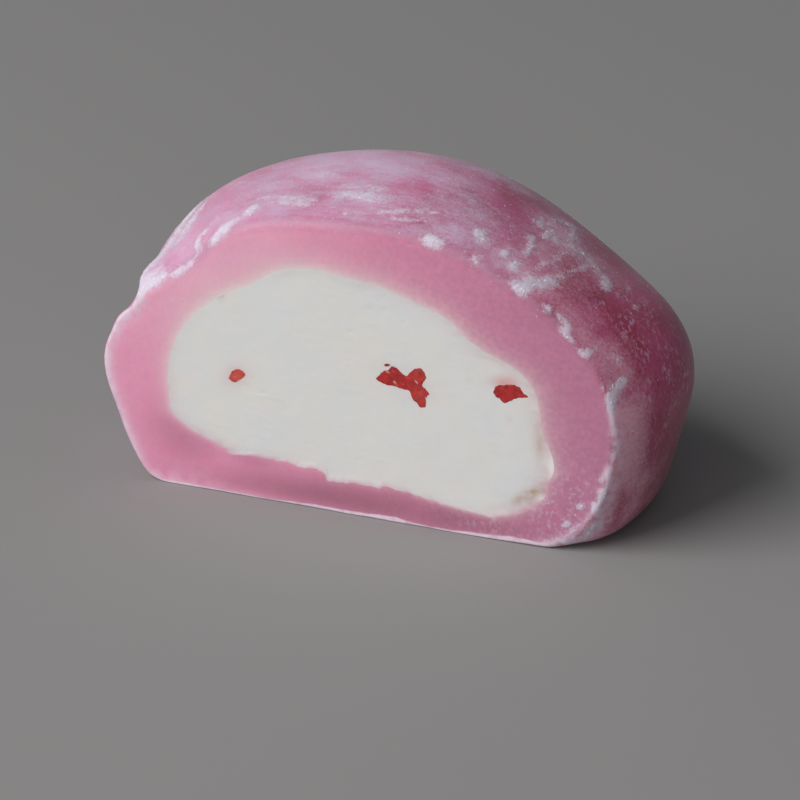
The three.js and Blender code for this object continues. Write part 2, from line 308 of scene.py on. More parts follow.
# Where the starch lies. Thick starch is pressed on in streaks and dabs: turn in degrees, distance
# behind the cut, half width along the turn, half width front to back, and strength.
THICK_STREAKS = (
    # outer streak down the left shoulder to the lip
    ((144.5, 7.2, 0.5, 0.8, 0.7), (146, 6.4, 0.7, 1.0, 0.85), (147, 5.2, 0.7, 1.0, 0.9),
     (148.5, 4.2, 0.7, 0.9, 0.95)),
    ((146, 10.4, 0.5, 0.8, 0.4), (148.5, 8.6, 0.8, 1.0, 0.8), (151, 7.0, 0.9, 1.0, 0.9),
     (153, 5.2, 0.9, 1.0, 0.95), (155, 3.8, 0.9, 0.9, 1.0), (157, 2.8, 0.9, 0.8, 1.1),
     (160.5, 1.8, 0.8, 0.8, 1.3), (161.5, 0.5, 0.6, 0.6, 1.2)),
    ((155, 1.3, 0.7, 0.4, 0.8), (160, 1.0, 0.9, 0.5, 1.15)),
    # inner streak beside the rim
    ((122.5, 2.4, 0.5, 0.35, 0.95), (123.5, 1.5, 0.5, 0.3, 0.9)),
    ((127, 1.2, 0.4, 0.3, 0.9), (129.5, 0.9, 0.6, 0.4, 1.15), (132, 0.55, 0.7, 0.45, 1.15),
     (135, 0.25, 0.5, 0.35, 1.0)),
    ((138.5, 1.9, 0.3, 0.25, 0.85), (141, 1.8, 0.3, 0.25, 0.9), (142, 1.2, 0.3, 0.25, 0.85),
     (140, 0.6, 0.3, 0.25, 0.8)),
    ((140, 0.5, 0.4, 0.3, 0.6), (144, 0.2, 0.4, 0.3, 0.55)),
    ((146, 0.2, 0.6, 0.3, 0.8), (150, 0.15, 0.7, 0.3, 0.75)),
    ((154, 0.5, 0.5, 0.4, 0.9), (159, 0.4, 0.6, 0.45, 1.2)),
    # wiped lines and the pressed patch on the crown
    ((121, 3.7, 0.7, 0.25, 0.62), (106, 2.6, 0.7, 0.3, 0.7)),
    ((118, 2.7, 0.7, 0.2, 0.6), (107, 2.1, 0.7, 0.25, 0.66)),
    ((96, 3.6, 0.9, 0.55, 0.68), (90, 3.6, 1.0, 0.65, 0.76), (85, 3.6, 0.8, 0.5, 0.68)),
    ((96, 4.7, 0.8, 0.3, 0.6), (89, 4.7, 0.8, 0.35, 0.6)),
    ((82, 1.9, 0.7, 0.2, 0.6), (70, 3.1, 0.7, 0.25, 0.6)),
    ((78, 1.3, 0.6, 0.2, 0.55), (71, 1.8, 0.6, 0.25, 0.55)),
    ((93, 1.3, 0.35, 0.35, 0.62),), ((106, 6.5, 0.8, 0.6, 0.5),),
    # dab on the rim
    ((65.8, 0.25, 0.45, 0.45, 1.0), (63.2, 0.2, 0.45, 0.4, 0.95)),
    # dabs on the right shoulder
    ((56, 2.9, 0.5, 0.6, 0.85), (54.5, 2.5, 0.4, 0.5, 0.8)),
    ((52, 0.4, 0.4, 0.35, 0.68),),
    ((48, 2.3, 0.35, 0.35, 0.85),),
    ((44.3, 1.7, 0.4, 0.5, 1),),
    ((41, 0.4, 0.4, 0.35, 0.9), (39, 0.3, 0.5, 0.45, 1.05), (38.4, 1.1, 0.4, 0.4, 0.95),
     (40, 1.6, 0.4, 0.4, 0.95), (37, 1.5, 0.5, 0.4, 0.9), (36, 2.6, 0.5, 0.5, 0.85)),
    ((44.5, 3.8, 0.3, 0.5, 0.7), (45.8, 5.6, 0.35, 0.5, 0.85)),
    # wiped from front to back
    ((36, 3.2, 0.25, 0.5, 0.55), (35, 5.0, 0.22, 0.5, 0.5), (33.5, 7.0, 0.22, 0.6, 0.55),
     (34, 9.5, 0.25, 0.6, 0.5)),
    ((40.5, 3.0, 0.22, 0.5, 0.5), (39, 5.2, 0.2, 0.5, 0.5), (38.5, 7.5, 0.22, 0.6, 0.55)),
    ((44.3, 7.2, 0.3, 0.5, 0.7), (43.6, 8.8, 0.3, 0.5, 0.65)),
    ((29.5, 8.0, 0.4, 0.4, 0.6), (28.6, 7.0, 0.5, 0.4, 0.85), (27.8, 6.3, 0.4, 0.4, 0.65)),
    # loop on the shoulder and the trail that runs down from it
    ((47.2, 8.2, 0.6, 0.8, 0.6), (45.3, 9.8, 0.5, 0.7, 0.5), (43.3, 11.3, 0.5, 0.7, 0.55),
     (40.8, 11.5, 0.6, 0.8, 0.7), (39.8, 10.2, 0.6, 0.8, 0.6)),
    ((41.5, 7.6, 0.7, 0.8, 0.55), (38.5, 8.4, 0.8, 0.9, 0.6), (35.5, 8.6, 0.8, 0.8, 0.55)),
    ((32.5, 8.2, 0.5, 0.5, 0.65), (31, 7.8, 0.5, 0.5, 0.6)),
    ((24.8, 8.6, 0.3, 0.4, 0.55),), ((22, 6.8, 0.3, 0.4, 0.55),),
    # trail of dabs down the rim
    ((32, 0.4, 0.35, 0.3, 0.8),),
    ((29, 0.7, 0.4, 0.3, 0.85), (27, 0.5, 0.4, 0.35, 0.9), (26, 0.1, 0.4, 0.3, 0.9),
     (24, 0.05, 0.3, 0.25, 0.75)),
    ((20, 0.05, 0.4, 0.2, 0.7), (20, 1.0, 0.3, 0.3, 0.72)),
    ((16, 2.1, 0.3, 0.4, 0.68),),
    ((11.9, 1.7, 0.3, 0.2, 0.85), (11.1, 1.0, 0.4, 0.25, 1.1), (9.7, 0.4, 0.55, 0.28, 1.25),
     (8.0, 0.15, 0.4, 0.2, 1.1)),
    ((12, 0.1, 0.25, 0.2, 0.8),),
    # lumps down the rim of the right side, to the heel
    ((-10, 0.15, 0.5, 0.25, 0.6), (-13, 0.1, 0.5, 0.3, 0.8), (-16, 0.1, 0.5, 0.35, 0.75)),
    ((-20, 0.5, 0.5, 0.5, 0.7), (-24, 0.7, 0.7, 0.8, 0.7), (-27, 0.3, 0.8, 0.5, 0.65)),
)


# How many streaks and hazes lie over the back, least and most of a dab's half widths and strength,
# and the seed they are drawn from. Then the turns they start between, how far behind the cut they
# start at the crown, how much nearer to it at the sides, and how far a streak wanders from a dab
# to the next.
BACK_STREAKS = 44, (0.25, 0.25, 0.45), (0.6, 0.5, 0.95), 5
BACK_HAZES = 14, (1.2, 1.0, 0.1), (2.6, 2.2, 0.4), 6
BACK_TURNS, BACK_CROWN, BACK_SIDE, MOST_DABS = (-25, 205), 80, 125, 4
BACK_FROM, BACK_FROM_AT_SIDE, BACK_TO, BACK_END = 17.0, 6.5, 21.5, 21.8
WANDER_ROUND, WANDER_BACK = 7, 0.8


def over_back(count, least, most, seed):
    """Streaks over the back of the ball, in the same form, drawn at random. Each wanders through
    one to four dabs, their half widths and strength between the least and the most. Those low on
    the sides start nearer the cut."""
    random = np.random.default_rng(seed)
    made = []
    for _ in range(count):
        turn = random.uniform(*BACK_TURNS)
        nearest = BACK_FROM - BACK_FROM_AT_SIDE * abs(turn - BACK_CROWN) / BACK_SIDE
        behind = random.uniform(nearest, BACK_TO)
        dabs = []
        for _ in range(random.integers(1, MOST_DABS + 1)):
            dabs.append((turn, behind, *random.uniform(least, most)))
            turn += random.uniform(-WANDER_ROUND, WANDER_ROUND)
            behind = min(behind + random.uniform(-WANDER_BACK, WANDER_BACK), BACK_END)
        made.append(tuple(dabs))
    return tuple(made)


THIN_DUST = (  # turn, behind, half widths, strength of haze that the hand has spread
    ((150, 2.5, 3.0, 3.0, 0.25),),
    ((130, 1.5, 3.0, 1.5, 0.15),),
    ((118, 6.0, 3.0, 2.5, 0.3), (102, 10.5, 3.0, 3.0, 0.4), (88, 8.5, 2.5, 2.5, 0.4)),
    ((116, 2.5, 2.0, 1.2, 0.25), (90, 3.6, 3.0, 1.8, 0.3), (72, 2.4, 2.0, 1.0, 0.2)),
    ((64, 0.8, 1.5, 1.2, 0.35), (56, 2.5, 1.5, 1.5, 0.4), (70, 7.5, 2.5, 2.0, 0.25)),
    ((66, 13, 3.0, 2.0, 0.3),), ((110, 5, 1.5, 0.9, 0.2),),
    ((74, 0.4, 1.5, 0.6, 0.25), (51, 0.3, 1.5, 0.6, 0.3)),
    ((44, 1.4, 1.8, 1.8, 0.5), (36, 1.8, 1.5, 1.6, 0.4), (41, 5.0, 2.2, 1.6, 0.45)),
    ((41, 8.8, 2.4, 2.0, 0.6), (34, 8.6, 1.7, 1.5, 0.5)),
    # near the rim of the right side: a haze of starch, strengthened as painted light so that side stays
    # lighter near the rim
    ((26, 0.8, 1.5, 1.0, 0.45), (20, 0.8, 1.5, 1.0, 0.4), (12, 1.2, 1.5, 1.2, 0.5)),
    ((4, 1.6, 1.6, 1.3, 0.75), (-5, 1.8, 1.6, 1.4, 0.85), (-14, 1.6, 1.6, 1.6, 0.7)),
    ((4, 0.5, 2.0, 0.6, 0.8), (-18, 0.6, 2.0, 0.6, 0.8)),
    ((-12, 4.2, 1.4, 1.0, 0.45), (-24, 1.5, 1.8, 1.2, 0.6)),
    ((14, 14, 3.0, 3.0, 0.25),),
)
BARE = (  # where it is rubbed off and the dough is bright red and moist
    ((30, 4.6, 1.0, 0.9, 0.15), (25, 5.6, 1.3, 1.2, 0.3)),
    ((-1, 4.4, 2.2, 0.9, 0.5),),
    ((57, 8.0, 2.2, 1.5, 0.35),), ((66, 3.6, 2.2, 0.9, 0.15),),
    ((103, 3.0, 0.4, 0.6, 0.35),), ((80, 5.2, 1.6, 0.8, 0.3),), ((50, 9.0, 1.5, 1.2, 0.2),),
    ((-13, 1.9, 0.8, 0.5, 0.35), (-19, 2.4, 0.9, 0.5, 0.4)),
    ((12, 6, 3.0, 2.0, 0.35), (10, 10, 3.0, 2.5, 0.35)),
)


DAB_SPACING = 0.6  # of a streak's least half width
BELL_REACH, NUDGE = 3.2, 0.01  # half widths out to which a dab is worked out, and a small angle


def dabs_along(streaks):
    """Dabs close together along each streak, by straight lines between its named dabs. Columns:
    turn, behind, half widths, strength."""
    made = []
    for streak in streaks:
        nodes = np.array(streak, float)
        if len(nodes) == 1:
            made.append(nodes)
            continue
        place, _ = skin_behind(np.radians(nodes[:, 0]), nodes[:, 1])
        way = np.concatenate([[0], np.cumsum(np.linalg.norm(np.diff(place, axis=0), axis=-1))])
        count = max(2, int(way[-1] / (DAB_SPACING * nodes[:, 2:4].min())))
        steps = np.linspace(0, way[-1], count)
        made.append(np.stack([np.interp(steps, way, column) for column in nodes.T], -1))
    return np.concatenate(made)


def starch_field(points, streaks):
    """Strongest of the dabs at each point: strength times a bell curve, wide or narrow along the
    turn and front to back, and thin through the skin."""
    turns, behind, along, back, strength = dabs_along(streaks).T
    turns = np.radians(turns)
    centre, dip = skin_behind(turns, behind)
    forward = skin(turns + NUDGE, dip) - centre
    forward /= np.linalg.norm(forward, axis=-1, keepdims=True)
    deeper = skin(turns, dip + NUDGE) - centre
    deeper -= (deeper * forward).sum(-1, keepdims=True) * forward
    deeper /= np.linalg.norm(deeper, axis=-1, keepdims=True)
    field = np.zeros(len(points))
    for at, side, rear, wide, long, most in zip(centre, forward, deeper, along, back, strength):
        away = points - at
        near = np.abs(away).max(-1) < BELL_REACH * max(wide, long)
        away = away[near]
        a, b = away @ side, away @ rear
        rest = np.clip((away**2).sum(-1) - a**2 - b**2, 0, None) / max(wide, long) ** 2
        bell = most * np.exp(-((a / wide) ** 2 + (b / long) ** 2 + rest) / 2)
        field[near] = np.maximum(field[near], bell)
    return field


STARCH_LUMPS, THICKEST = ((0.75, 61, 0.16), (0.33, 62, 0.12)), 1.2
VEIL_LEFT, VEIL_LOST, VEIL_LOST_FROM, VEIL_LOST_BY = 0.36, 0.22, 4, 17


def thick_starch(points):
    """Thickness share of pressed starch, from 0 to a little over 1, broken up by lumps."""
    lumps = layers_of_noise(points, STARCH_LUMPS)
    field = starch_field(points, THICK_STREAKS + over_back(*BACK_STREAKS))
    return np.clip(field + lumps * smooth_step(field, 0.05, 0.5), 0, THICKEST)


def veil_cover(points):
    """How much of the skin a thin veil of starch clouds: more on the left and the crown, less on
    the right side, with the named haze added and the named bare places taken out."""
    base = VEIL_LEFT - VEIL_LOST * smooth_step(points[:, 0], VEIL_LOST_FROM, VEIL_LOST_BY)
    hazes = THIN_DUST + over_back(*BACK_HAZES)
    return base + starch_field(points, hazes) - starch_field(points, BARE)


RIM_FILM = (  # film of wet starch along the rim of the cut, in the same order
    ((158, 0.1, 0.6, 0.22, 0.6), (166, 0.0, 0.7, 0.24, 1.0), (176, 0.0, 0.8, 0.2, 0.9),
     (186, 0.0, 0.8, 0.18, 0.75), (196, 0.0, 0.8, 0.2, 0.75), (207, 0.05, 0.8, 0.2, 0.45),
     (218, 0.1, 1.0, 0.2, 0.2)),
    ((8, 0.15, 0.4, 0.2, 1.0), (5.5, 0.15, 0.4, 0.2, 1.1), (1.6, 0.25, 0.35, 0.24, 1.1),
     (-1, 0.35, 0.35, 0.22, 1.2), (-2.4, 0.2, 0.4, 0.2, 1.3), (-4.8, 0.2, 0.35, 0.14, 0.7),
     (-7, 0.0, 0.4, 0.25, 1.3), (-9.2, 0.15, 0.35, 0.14, 0.9), (-11.6, 0.0, 0.4, 0.22, 1.3),
     (-13.4, 0.2, 0.3, 0.14, 0.8), (-15.2, 0.1, 0.5, 0.3, 1.4), (-18, 0.3, 0.4, 0.3, 0.8),
     (-20.5, 0.5, 0.5, 0.4, 1.1)),
    ((8, 0.6, 1.2, 0.4, 0.35), (0, 0.9, 1.2, 0.5, 0.35), (-12, 0.6, 1.2, 0.6, 0.6),
     (-20, 0.9, 1.2, 0.6, 0.6)),
    ((-19, 1.6, 0.5, 0.2, 0.7), (-21.4, 1.2, 0.5, 0.22, 0.9), (-24, 0.6, 0.5, 0.25, 1.1),
     (-26.6, 0.05, 0.5, 0.22, 1.1), (-30.5, 0.0, 0.5, 0.2, 1.1)),
)
FOOT_LINE = 0.20  # height in mm of the starch caught where the dough meets the table
FOOT_UNEVEN, FOOT_LIES = ((0.8, 63, 0.05),), (1, 0.3, 0)
FOOT_SWELLS = (  # x, half width, height
    (-2.0, 2.2, 0.13), (3.3, 1.4, 0.24), (-7.0, 1.5, -0.10), (-10.5, 1.5, -0.05), (14.2, 1.4, 0.32),
    (6.6, 0.8, -0.04), (11.3, 1.0, 0.1), (17.2, 1.4, 0.12),
)
# Spots on the cut: middle in x and z, half length, half width, lean in degrees, strength.
PALE_CUT = ((-12.5, 19.2, 7.5, 3.0, 36, 0.9), (-19.5, 9, 1.6, 4.0, 0, 0.3))
# Low on the cut, near the table: painted shade where less light reaches, over dough that is moist and
# darker there.
DEEP_AND_SHADED_CUT = (
    (-14.8, 4.2, 2.6, 1.6, -25, 0.5), (-8.5, 3.2, 2.2, 1.0, -25, 0.4), (0, 1.2, 9, 1.2, 0, 1.0),
    (9, 1.0, 5, 1.1, 0, 1.0),
)
CRUMBLY_CUT = ((18.0, 3.6, 2.4, 3.0, 0, 1.0), (13, 1.2, 3.0, 0.8, 0, 0.6))
FLECKS = (  # wet starch that the knife left on the cut
    (18.3, 2.5, 0.4, 0.2, 40, 0.9), (19.4, 4.2, 0.35, 0.25, 60, 0.9), (19.9, 3.1, 0.6, 0.2, 65, 0.5),
    (18.8, 2.1, 0.35, 0.2, 30, 0.7), (18.9, 1.2, 0.5, 0.3, 30, 0.6), (17.2, 0.9, 1.1, 0.18, 20, 0.5),
    (16.9, 4.1, 0.3, 0.15, 10, 0.6), (17.8, 3.1, 0.25, 0.12, 20, 0.5), (20.6, 4.4, 0.4, 0.3, 70, 0.8),
    (21.1, 6.8, 0.4, 0.25, 85, 0.6), (18.6, 3.3, 0.5, 0.1, 60, 0.45), (19.3, 2.5, 0.5, 0.12, 55, 0.5),
    (-15.2, 16.2, 0.16, 0.12, 0, 0.6), (-14.4, 16.4, 0.16, 0.12, 0, 0.6),
)
WRINKLED = (  # where the skin was gathered on the right side, in the same order as the starch
    ((20, 6, 5, 4.0, 1.0),), ((8, 6, 4, 3.5, 1.0),), ((-8, 5.5, 4, 2.5, 0.7),), ((32, 8, 4, 3, 0.9),),
)
SHADED_RED_AT, SHADED_RED_REACH = (24, 10, 4.0), 6.5  # where the right side is darkest and reddest: painted shade, over a deeper red dough
STARCH_HEIGHT, LIFTS_FROM = 0.05, 0.35

# The shell itself, raised a little where starch is thick, and all that its material reads.
shell = np.concatenate([outside_rows, edge_rows, cut_rows, hollow_rows])
outside = np.arange(len(shell))[:, None] < OUTSIDE_ROWS + EDGE_ROWS
thick = thick_starch(shell.reshape(-1, 3)).reshape(shell.shape[:2])
lifted = smooth_step(thick, LIFTS_FROM, 1.0) * outside
away = shell - HEART
shell += STARCH_HEIGHT * lifted[..., None] * away / np.linalg.norm(away, axis=-1, keepdims=True)
shell[..., 2] = np.clip(shell[..., 2], 0, None)
to_frame = np.array([-(shell[..., 0].min() + shell[..., 0].max()) / 2, cad_low.y * 1000, 0])
back_pole = skin(np.zeros(1), np.full(1, np.pi / 2))[0]
hollow_pole = HEART + (0, FILLING_DEPTH + BOND, 0)
dough = closed_rings("dough_skin", back_pole, shell, hollow_pole)
paint(dough, "thick_starch", with_poles(0, thick, 0))
shell_points = np.concatenate([back_pole[None], shell.reshape(-1, 3), hollow_pole[None]])
paint(dough, "veil", veil_cover(shell_points))
paint(dough, "rim_film", starch_field(shell_points, RIM_FILM))
paint(dough, "wrinkled", starch_field(shell_points, WRINKLED))
away = np.linalg.norm(shell_points - SHADED_RED_AT, axis=-1)
paint(dough, "shaded_deep_red", np.exp(-((away / SHADED_RED_REACH) ** 2) / 2))
foot = FOOT_LINE + layers_of_noise(shell_points * FOOT_LIES, FOOT_UNEVEN)
for at_x, wide, height in FOOT_SWELLS:
    foot += height * np.exp(-(((shell_points[:, 0] - at_x) / wide) ** 2) / 2)
paint(dough, "foot_line", foot / 1000)


def spots(points, rows):
    """Strongest of some leaning oval spots at each point of the cut face, as bell curves. Each
    has a middle in x and z, a half length and half width, a lean in degrees and a strength."""
    field = np.zeros(points.shape[:-1])
    for at_x, at_z, long, wide, lean, most in rows:
        dx, dz = points[..., 0] - at_x, points[..., 2] - at_z
        c, s = math.cos(math.radians(lean)), math.sin(math.radians(lean))
        out = ((dx * c + dz * s) / long) ** 2 + ((dz * c - dx * s) / wide) ** 2
        field = np.maximum(field, most * np.exp(-out / 2))
    return field


for name, rows in (
    ("pale_cut", PALE_CUT), ("deep_and_shaded_cut", DEEP_AND_SHADED_CUT), ("crumbly_cut", CRUMBLY_CUT), ("flecks", FLECKS),
):
    paint(dough, name, spots(shell_points, rows))

SEAM_BLENDS = (  # turn, share and reach of the filling's pallor in the dough beside it, and share
    # and reach of the dough's blush in the filling
    (0, 0.45, 1.0, 0.45, 0.7), (20, 0.5, 1.0, 0.45, 0.7), (60, 0.7, 0.85, 0.22, 0.5),
    (90, 0.75, 0.9, 0.24, 0.5), (120, 0.87, 0.95, 0.12, 0.5), (150, 1.0, 1.0, 0.0, 0.5),
    (180, 0.62, 0.75, 0.25, 0.5), (200, 0.4, 0.4, 0.6, 0.55), (213, 0.0, 0.3, 0.85, 0.5),
    (240, 0.1, 0.2, 0.5, 0.3), (270, 0.0, 0.2, 0.8, 0.3), (300, 0.15, 0.25, 0.7, 0.3),
    (320, 0.6, 0.4, 0.4, 0.35), (340, 0.4, 0.45, 0.9, 0.8),
)
RIM_WASH = (  # turn, strength and reach of the wet starch that the knife dragged from the rim
    (22, 0.0, 0.3), (32, 0.35, 0.35), (45, 0.4, 0.4), (58, 0.1, 0.3), (70, 0.0, 0.3), (150, 0.0, 0.3),
    (165, 0.5, 0.6), (180, 0.75, 0.75), (198, 0.7, 0.7), (207, 0.45, 0.5), (222, 0.35, 0.45),
    (235, 0.2, 0.4), (250, 0.0, 0.4), (315, 0.0, 0.35), (322, 0.5, 0.5), (327, 0.9, 0.65),
    (334, 0.9, 0.65), (339, 0.3, 0.5), (343, 0.45, 0.5), (346, 0.2, 0.4), (352, 0.35, 0.35),
    (356, 0.0, 0.3),
)


def round_the_cut(rows, turn):
    """Named values at each turn, by straight lines between the rows, and on past the last row."""
    rows = np.array(rows)
    return [np.interp(np.degrees(turn), rows[:, 0], column, period=360) for column in rows.T[1:]]


# Which points belong to the cut face, how strongly the filling shines through the dough next to
# it, and where wet starch lies along the rim.
on_cut = np.concatenate([
    np.zeros(OUTSIDE_ROWS), smooth_step(np.arange(1, EDGE_ROWS + 1) / EDGE_ROWS, 0.1, 1.0),
    np.ones(CUT_ROWS + HOLLOW_ROWS),
])
paint(dough, "cut_face", with_poles(0, np.repeat(on_cut, TURNS), 1))
radii = np.hypot(shell[..., 0], shell[..., 2] - HEART[2])
from_seam = np.clip(radii - inner, 0, None)
from_rim = np.clip(cut_reach + edge - radii, 0, None)
pallor, pallor_reach, blush, blush_reach = round_the_cut(SEAM_BLENDS, turn)
paint(dough, "by_filling", with_poles(0, pallor * np.exp(-from_seam / pallor_reach), 1))
# Painted shade on the rounded top edge of the cut, most in the middle of the rounding, darkening it
# where it faces the lamp.
bevel_painted_shade = np.zeros(shell.shape[:2])
on_edge = slice(OUTSIDE_ROWS, OUTSIDE_ROWS + EDGE_ROWS)
bevel_painted_shade[on_edge] = np.sin(np.pi * part[..., 0]) * smooth_step(np.sin(turn), 0.05, 0.6)
paint(dough, "bevel_painted_shade", with_poles(0, bevel_painted_shade, 0))
wash, wash_reach = round_the_cut(RIM_WASH, turn)
paint(dough, "rim_wash", with_poles(0, wash * np.exp(-((from_rim / wash_reach) ** 2)), 0))
body = np.where(outside, 1, smooth_step(from_seam, 0.05, 0.6))
paint(dough, "clear_of_seam", with_poles(1, body, 0))


def node(tree, kind, inputs, **settings):
    """Shader node of a kind. Each input is a plain value or the socket that feeds it."""
    made = tree.nodes.new("ShaderNode" + kind)
    for name, value in settings.items():
        setattr(made, name, value)
    for socket, value in inputs.items():
        if isinstance(value, bpy.types.NodeSocket):
            tree.links.new(value, made.inputs[socket])
        else:
            made.inputs[socket].default_value = value
    return made


LUMPS_INPUTS = (
    ("Size", "Float", 1.0), ("Shift", "Float", 0.0), ("Detail", "Float", 2.0),
    ("Stretch", "Vector", (1, 1, 1)),
)


def lumps_group():
    """Shader group: noise from 0 to 1 in the part's frame, its lumps of a size in mm, pulled out
    along each axis by the stretch, and moved by the shift to differ from other noise."""
    group = bpy.data.node_groups.new("lumps", "ShaderNodeTree")
    for name, kind, value in LUMPS_INPUTS:
        socket = group.interface.new_socket(name, in_out="INPUT", socket_type="NodeSocket" + kind)
        socket.default_value = value
    group.interface.new_socket("Lumps", in_out="OUTPUT", socket_type="NodeSocketFloat")
    given, result = group.nodes.new("NodeGroupInput"), group.nodes.new("NodeGroupOutput")
    place = node(group, "TexCoord", {}).outputs["Object"]
    for way, by in (
        ("MULTIPLY", (1000, 1000, 1000)), ("DIVIDE", given.outputs["Stretch"]),
        ("DIVIDE", given.outputs["Size"]), ("ADD", given.outputs["Shift"]),
    ):
        place = node(group, "VectorMath", {0: place, 1: by}, operation=way).outputs[0]
    inputs = {"Vector": place, "Scale": 1.0, "Detail": given.outputs["Detail"]}
    noise = node(group, "TexNoise", inputs)
    group.links.new(noise.outputs["Fac"], result.inputs[0])
    return group


LUMPS = lumps_group()


class Finish:
    """A material while it is mixed, with short names for the shader nodes that it needs."""

    def __init__(self, name):
        self.material = bpy.data.materials.new(name)
        self.material.use_nodes = True
        self.tree = self.material.node_tree

    def stored(self, name):
        """The number painted on the piece under a name."""
        return node(self.tree, "Attribute", {}, attribute_name=name).outputs["Fac"]

    def along(self, axis):
        """Place along an axis of the part's frame, in metres."""
        place = node(self.tree, "TexCoord", {}).outputs["Object"]
        return node(self.tree, "SeparateXYZ", {"Vector": place}).outputs[axis]

    def lumps(self, size, shift, detail=2.0, stretch=(1, 1, 1)):
        """Noise from 0 to 1 with lumps of a size in mm."""
        inputs = {"Size": size, "Shift": shift, "Detail": detail, "Stretch": stretch}
        made = self.tree.nodes.new("ShaderNodeGroup")
        made.node_tree = LUMPS
        for socket, value in inputs.items():
            made.inputs[socket].default_value = value
        return made.outputs["Lumps"]

    def sum(self, first, *others):
        """Sum of numbers; a pair is a number and the factor it is multiplied by."""
        total = self.times(*first) if isinstance(first, tuple) else first
        for other in others:
            part = self.times(*other) if isinstance(other, tuple) else other
            total = node(self.tree, "Math", {0: total, 1: part}, operation="ADD").outputs[0]
        return total

    def times(self, one, other):
        """Product of two numbers."""
        return node(self.tree, "Math", {0: one, 1: other}, operation="MULTIPLY").outputs[0]

    def largest(self, one, other):
        """The larger of two numbers."""
        return node(self.tree, "Math", {0: one, 1: other}, operation="MAXIMUM").outputs[0]

    def ramp(self, value, low, high, start=0.0, end=1.0):
        """Smooth step from start to end while the value goes from low to high."""
        inputs = {"Value": value, "From Min": low, "From Max": high, "To Min": start, "To Max": end}
        return node(self.tree, "MapRange", inputs, interpolation_type="SMOOTHSTEP").outputs[0]

    def tint(self, share, one, other, way="MIX"):
        """Colour between two others, by a share from 0 to 1."""
        one, other = ((*c, 1) if isinstance(c, tuple) else c for c in (one, other))
        inputs = {0: share, 6: one, 7: other}
        return node(self.tree, "Mix", inputs, data_type="RGBA", blend_type=way).outputs[2]

    def relief(self, height, strength, depth):
        """Normal bent by a height from 0 to 1, which stands for a depth in mm."""
        inputs = {"Height": height, "Strength": strength, "Distance": depth / 1000}
        return node(self.tree, "Bump", inputs).outputs[0]

    def put_on(self, piece, **inputs):
        """Feeds the material's main shader and gives the material to a piece."""
        shader = self.tree.nodes["Principled BSDF"]
        for name, value in inputs.items():
            socket = shader.inputs[name.replace("_", " ").title()]
            if isinstance(value, bpy.types.NodeSocket):
                self.tree.links.new(value, socket)
            else:
                socket.default_value = value
        piece.data.materials.append(self.material)


# The cut's colour runs from lighter at the left to darker at the right: painted light that comes
# through the dough from the left.
CUT_LEFT, CUT_RIGHT, CUT_PALE = (0.83, 0.33, 0.50), (0.54, 0.215, 0.34), (0.86, 0.50, 0.64)
# The cut's deep colour is painted shade low down near the table, over darker moist dough.
CUT_DEEP_AND_SHADE, BY_FILLING, BEVEL_SHADE = (0.45, 0.17, 0.255), (0.84, 0.70, 0.70), (0.78, 0.75, 0.78)
# The moist dough darkens and reddens from left to right and is darkest low on the right and behind:
# partly the dough's own deeper red, partly painted shade of the side away from the lamp.
MOIST_LEFT, MOIST_RIGHT_SHADED, MOIST_DEEP_SHADE = (0.74, 0.28, 0.47), (0.52, 0.085, 0.21), (0.31, 0.018, 0.052)
# On the right the veil turns warmer: painted to match the veil as it looks in the shade of that side.
VEIL, VEIL_IN_SHADE, STARCH = (0.68, 0.53, 0.72), (0.84, 0.45, 0.57), (0.72, 0.65, 0.78)
RIM_STARCH, FILM_STARCH, FOOT_STARCH = (0.78, 0.66, 0.78), (0.82, 0.64, 0.77), (0.82, 0.66, 0.78)
# In metres: where the colours turn from left to right, partly painted light and shade, lighter at the
# left and darker at the right, where the crown begins and is reached, how the foot's starch thins out
# and how ragged it is, and up to where the foot lets no light through.
LEFT, RIGHT, CUT_LEFTMOST, CUT_RIGHTMOST = -0.018, 0.020, -0.014, 0.023
CROWN_FROM, CROWN_BY = 0.0205, 0.0245
FOOT_BY, FOOT_FULL, FOOT_RAGGED, FIRM_BELOW = 0.00012, -0.00006, 0.00008, 0.0012
DOUGH_RELIEF, DOUGH_GLOW, GLOW_REACH = 0.07, 0.7, (2.5, 0.5, 0.55)

look = Finish("dough")
rightward = look.ramp(look.along(0), LEFT, RIGHT)
powder = look.lumps(0.22, 2.0, 3.0)
wiped = look.lumps(0.28, 4.0, 3.0, (7.0, 1.5, 1.5))
caked = look.lumps(0.7, 5.0, 4.0)

# the cut face: painted light, paler at the left where light from the left comes through the dough and
# darker at the right; painted shade low down near the table; with starch dragged in from the rim and
# crumbs at the heel
cut = look.tint(look.ramp(look.along(0), CUT_LEFTMOST, CUT_RIGHTMOST), CUT_LEFT, CUT_RIGHT)
cut = look.tint(look.stored("deep_and_shaded_cut"), cut, CUT_DEEP_AND_SHADE)
cut = look.tint(look.times(look.stored("pale_cut"), 0.7), cut, CUT_PALE)
cut = look.tint(look.stored("by_filling"), cut, BY_FILLING)
wash = look.times(look.stored("rim_wash"), look.ramp(caked, 0.3, 0.6, 0.75, 1.05))
cut = look.tint(wash, cut, RIM_STARCH)
crumbs = look.ramp(look.lumps(0.3, 9.0, 4.0, (1, 1, 1.4)), 0.48, 0.7)
crumbs = look.times(crumbs, look.stored("crumbly_cut"))
cut = look.tint(look.times(crumbs, 0.6), cut, VEIL)
flecked = look.sum(look.stored("flecks"), look.ramp(powder, 0.25, 0.75, -0.2, 0.2))
cut = look.tint(look.ramp(flecked, 0.25, 0.8, 0.0, 0.8), cut, STARCH)
grain = look.ramp(look.lumps(0.4, 8.0, 5.0), 0.25, 0.75, 0.93, 1.06)
cut = look.tint(look.ramp(rightward, 0.2, 0.8, 0.35, 1.0), cut, grain, "MULTIPLY")
